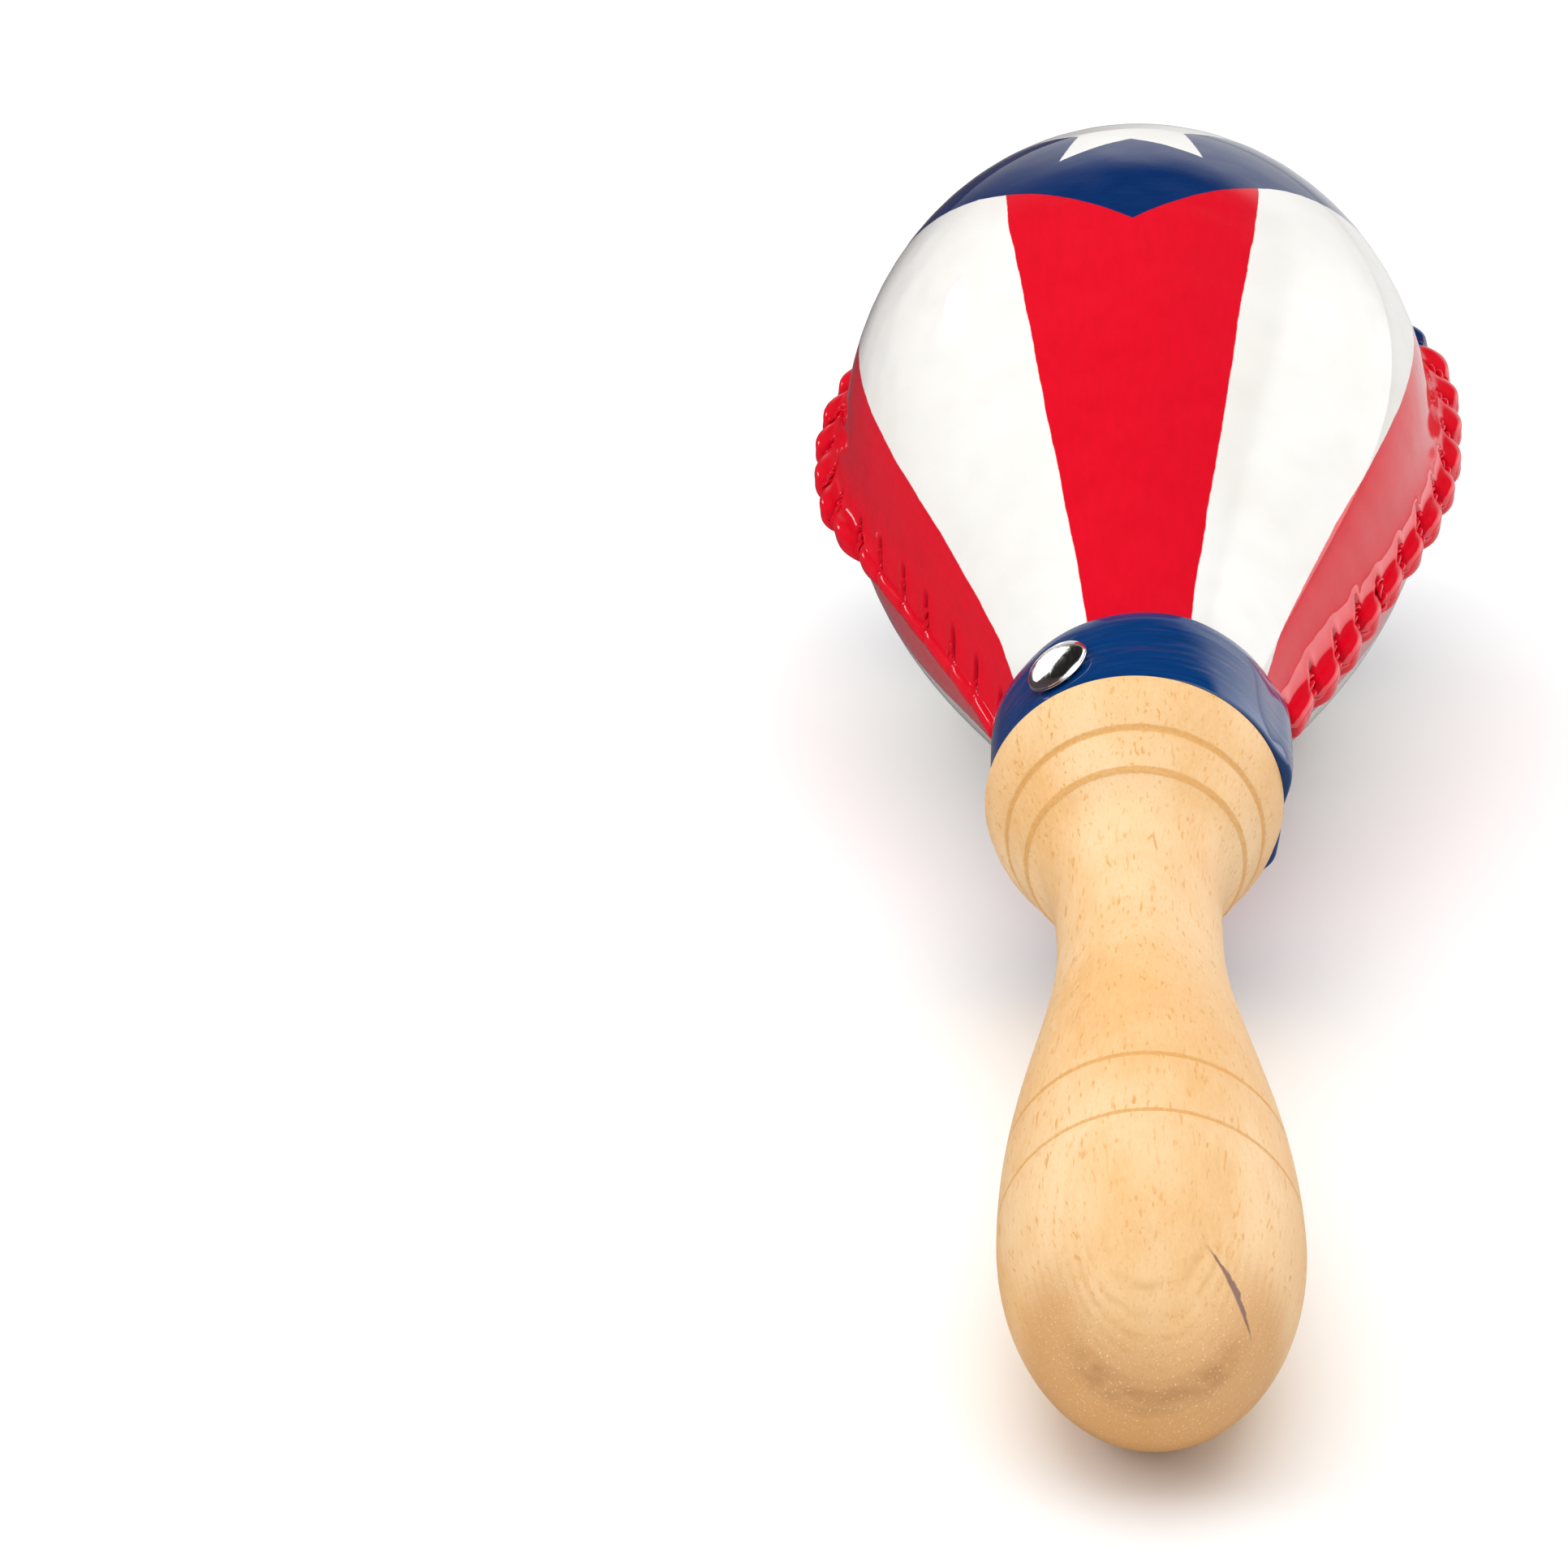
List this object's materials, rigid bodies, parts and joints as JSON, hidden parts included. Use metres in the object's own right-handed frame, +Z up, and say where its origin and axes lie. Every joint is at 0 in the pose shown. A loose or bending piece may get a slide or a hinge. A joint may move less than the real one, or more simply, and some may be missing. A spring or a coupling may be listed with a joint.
{
  "type": "maraca",
  "caption": "Hand-held rattle with a hollow sewn rawhide head of loose pellets on a turned wooden handle, lying on its side.",
  "frame": {"origin": "middle of the maraca's footprint, on the surface it lies on", "axes": "+Y from the handle's end towards the crown of the head, +Z up, +X to the right seen from the handle"},
  "size_m": [0.0942, 0.2892, 0.0855],
  "materials": {
    "turned_wood": "pale fine-grained hardwood, turned, sanded and satin varnished",
    "painted_rawhide": "moulded rawhide under thick gloss enamel: white and red gores with a blue starred cap",
    "sewing_thread": "whip-stitched thread, painted over in gloss red and blue",
    "blue_leather": "thin leather strap painted gloss blue",
    "nickel_plate": "polished nickel-plated steel",
    "hard_seed": "hard dried seed, smooth and dull"
  },
  "bodies": {
    "maraca_body": {"handle": "turned_wood", "upper_shell": "painted_rawhide", "lower_shell": "painted_rawhide", "seam_thread": "sewing_thread", "collar_strap": "blue_leather", "tack_front": "nickel_plate", "tack_lap": "nickel_plate"},
    "pellet_01": {"pellet_01": "hard_seed"},
    "pellet_02": {"pellet_02": "hard_seed"},
    "pellet_03": {"pellet_03": "hard_seed"},
    "pellet_04": {"pellet_04": "hard_seed"},
    "pellet_05": {"pellet_05": "hard_seed"},
    "pellet_06": {"pellet_06": "hard_seed"},
    "pellet_07": {"pellet_07": "hard_seed"},
    "pellet_08": {"pellet_08": "hard_seed"},
    "pellet_09": {"pellet_09": "hard_seed"},
    "pellet_10": {"pellet_10": "hard_seed"},
    "pellet_11": {"pellet_11": "hard_seed"},
    "pellet_12": {"pellet_12": "hard_seed"}
  },
  "joints": [
    {"name": "pellet_01_rattle", "type": "slide", "parent": "maraca_body", "child": "pellet_01", "axis": [0, 0, 1], "range_m": [0, 0.0727]},
    {"name": "pellet_02_rattle", "type": "slide", "parent": "maraca_body", "child": "pellet_02", "axis": [0, 0, 1], "range_m": [0, 0.0755]},
    {"name": "pellet_03_rattle", "type": "slide", "parent": "maraca_body", "child": "pellet_03", "axis": [0, 0, 1], "range_m": [0, 0.0755]},
    {"name": "pellet_04_rattle", "type": "slide", "parent": "maraca_body", "child": "pellet_04", "axis": [0, 0, 1], "range_m": [0, 0.0727]},
    {"name": "pellet_05_rattle", "type": "slide", "parent": "maraca_body", "child": "pellet_05", "axis": [0, 0, 1], "range_m": [0, 0.0727]},
    {"name": "pellet_06_rattle", "type": "slide", "parent": "maraca_body", "child": "pellet_06", "axis": [0, 0, 1], "range_m": [0, 0.0754]},
    {"name": "pellet_07_rattle", "type": "slide", "parent": "maraca_body", "child": "pellet_07", "axis": [0, 0, 1], "range_m": [0, 0.0754]},
    {"name": "pellet_08_rattle", "type": "slide", "parent": "maraca_body", "child": "pellet_08", "axis": [0, 0, 1], "range_m": [0, 0.0727]},
    {"name": "pellet_09_rattle", "type": "slide", "parent": "maraca_body", "child": "pellet_09", "axis": [0, 0, 1], "range_m": [0, 0.0708]},
    {"name": "pellet_10_rattle", "type": "slide", "parent": "maraca_body", "child": "pellet_10", "axis": [0, 0, 1], "range_m": [0, 0.0735]},
    {"name": "pellet_11_rattle", "type": "slide", "parent": "maraca_body", "child": "pellet_11", "axis": [0, 0, 1], "range_m": [0, 0.0735]},
    {"name": "pellet_12_rattle", "type": "slide", "parent": "maraca_body", "child": "pellet_12", "axis": [0, 0, 1], "range_m": [0, 0.0708]}
  ]
}
